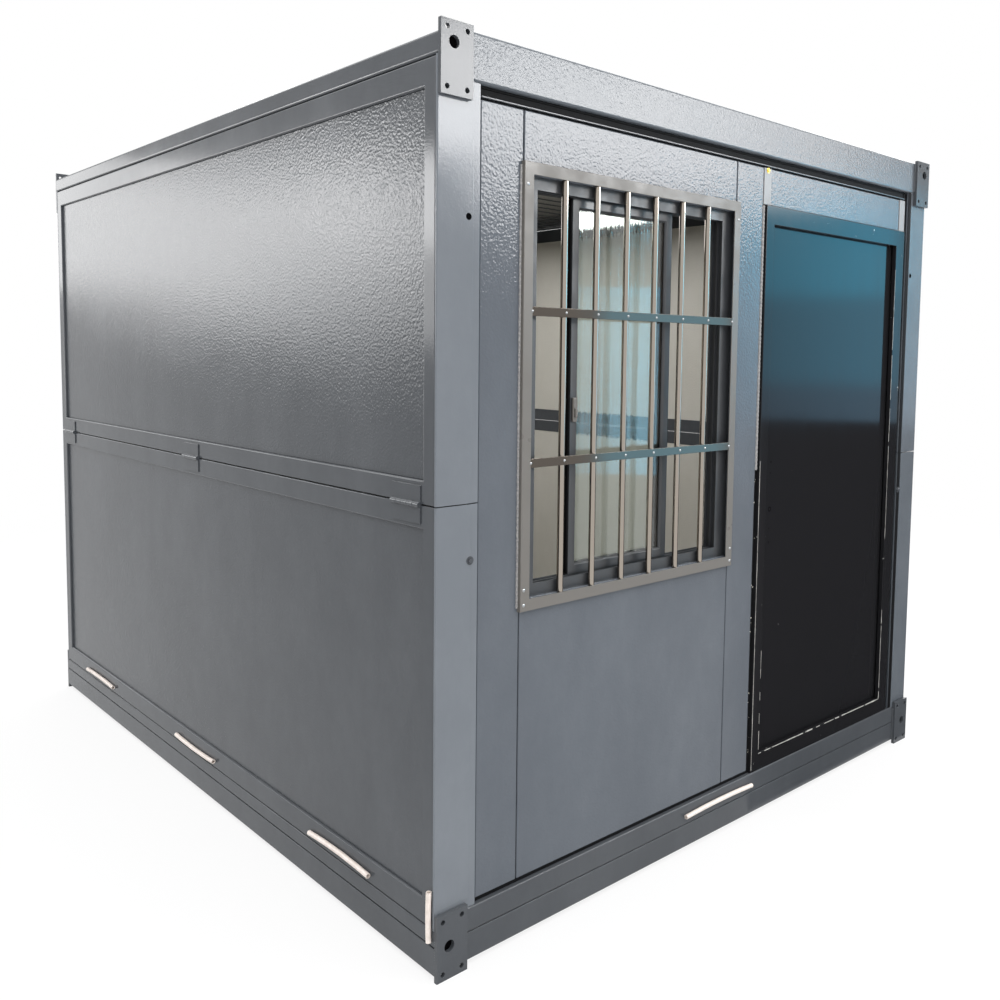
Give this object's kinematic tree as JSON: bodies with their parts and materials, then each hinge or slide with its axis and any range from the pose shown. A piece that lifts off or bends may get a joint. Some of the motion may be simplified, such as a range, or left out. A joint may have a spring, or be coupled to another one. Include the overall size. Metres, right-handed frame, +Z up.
{
  "type": "folding container house",
  "caption": "Folding steel container house with hinged side walls, a barred sliding window and an inward-opening door.",
  "frame": {"origin": "on the ground under the middle of the unit", "axes": "+X along the end wall with the door, to the right seen from outside; +Y from that end wall to the rear one; +Z up"},
  "size_m": [2.53, 3.03, 2.45],
  "materials": {
    "grey_paint": "gloss anthracite paint",
    "charcoal_paint": "satin charcoal paint",
    "stainless_steel": "bright",
    "hinge_steel": "satin",
    "grey_aluminium": "powder coated",
    "window_glass": "clear float glass",
    "rubber_seal": "matt",
    "cream_plastic": "cream hose",
    "floor_board": "grey vinyl on board"
  },
  "bodies": {
    "house": {"base_front_beam": "grey_paint", "base_rear_beam": "grey_paint", "base_left_beam": "grey_paint", "base_right_beam": "grey_paint", "floor_joists": "grey_paint", "floor_deck": "floor_board", "roof_front_beam": "grey_paint", "roof_rear_beam": "grey_paint", "roof_left_beam": "grey_paint", "roof_right_beam": "grey_paint", "roof_panel": "grey_paint", "lower_corner_plates": "grey_paint", "upper_corner_plates": "grey_paint", "post_front_left_lower": "grey_paint", "post_front_left_upper": "grey_paint", "post_front_right_lower": "grey_paint", "post_front_right_upper": "grey_paint", "rear_posts_lower": "grey_paint", "rear_posts_upper": "grey_paint", "left_lower_frame": "grey_paint", "left_lower_panel": "grey_paint", "left_upper_frame": "grey_paint", "left_upper_panel": "grey_paint", "right_lower_frame": "grey_paint", "right_lower_panel": "grey_paint", "right_upper_frame": "grey_paint", "right_upper_panel": "grey_paint", "left_fold_hinges": "grey_paint", "right_fold_hinges": "grey_paint", "wall_filler_panel": "grey_paint", "wall_below_window": "grey_paint", "wall_above_window": "grey_paint", "wall_jamb_panel": "grey_paint", "wall_lintel_panel": "grey_paint", "lintel_trims": "grey_paint", "front_top_channel": "grey_paint", "front_wall_seals": "rubber_seal", "rear_wall_panels": "grey_paint", "rear_top_channel": "grey_paint", "window_frame": "grey_aluminium", "window_sash": "grey_aluminium", "window_glass": "window_glass", "window_grille": "stainless_steel", "door_frame": "charcoal_paint", "door_hinge_pins": "hinge_steel", "hose_grips": "cream_plastic"},
    "door": {"door_leaf": "charcoal_paint", "door_hinge_knuckles": "hinge_steel"}
  },
  "joints": [
    {"name": "door_hinge", "type": "hinge", "parent": "house", "child": "door", "pos_m": [1.05, -1.424, 1.16], "axis": [0, 0, -1], "range_deg": [0, 92]}
  ]
}
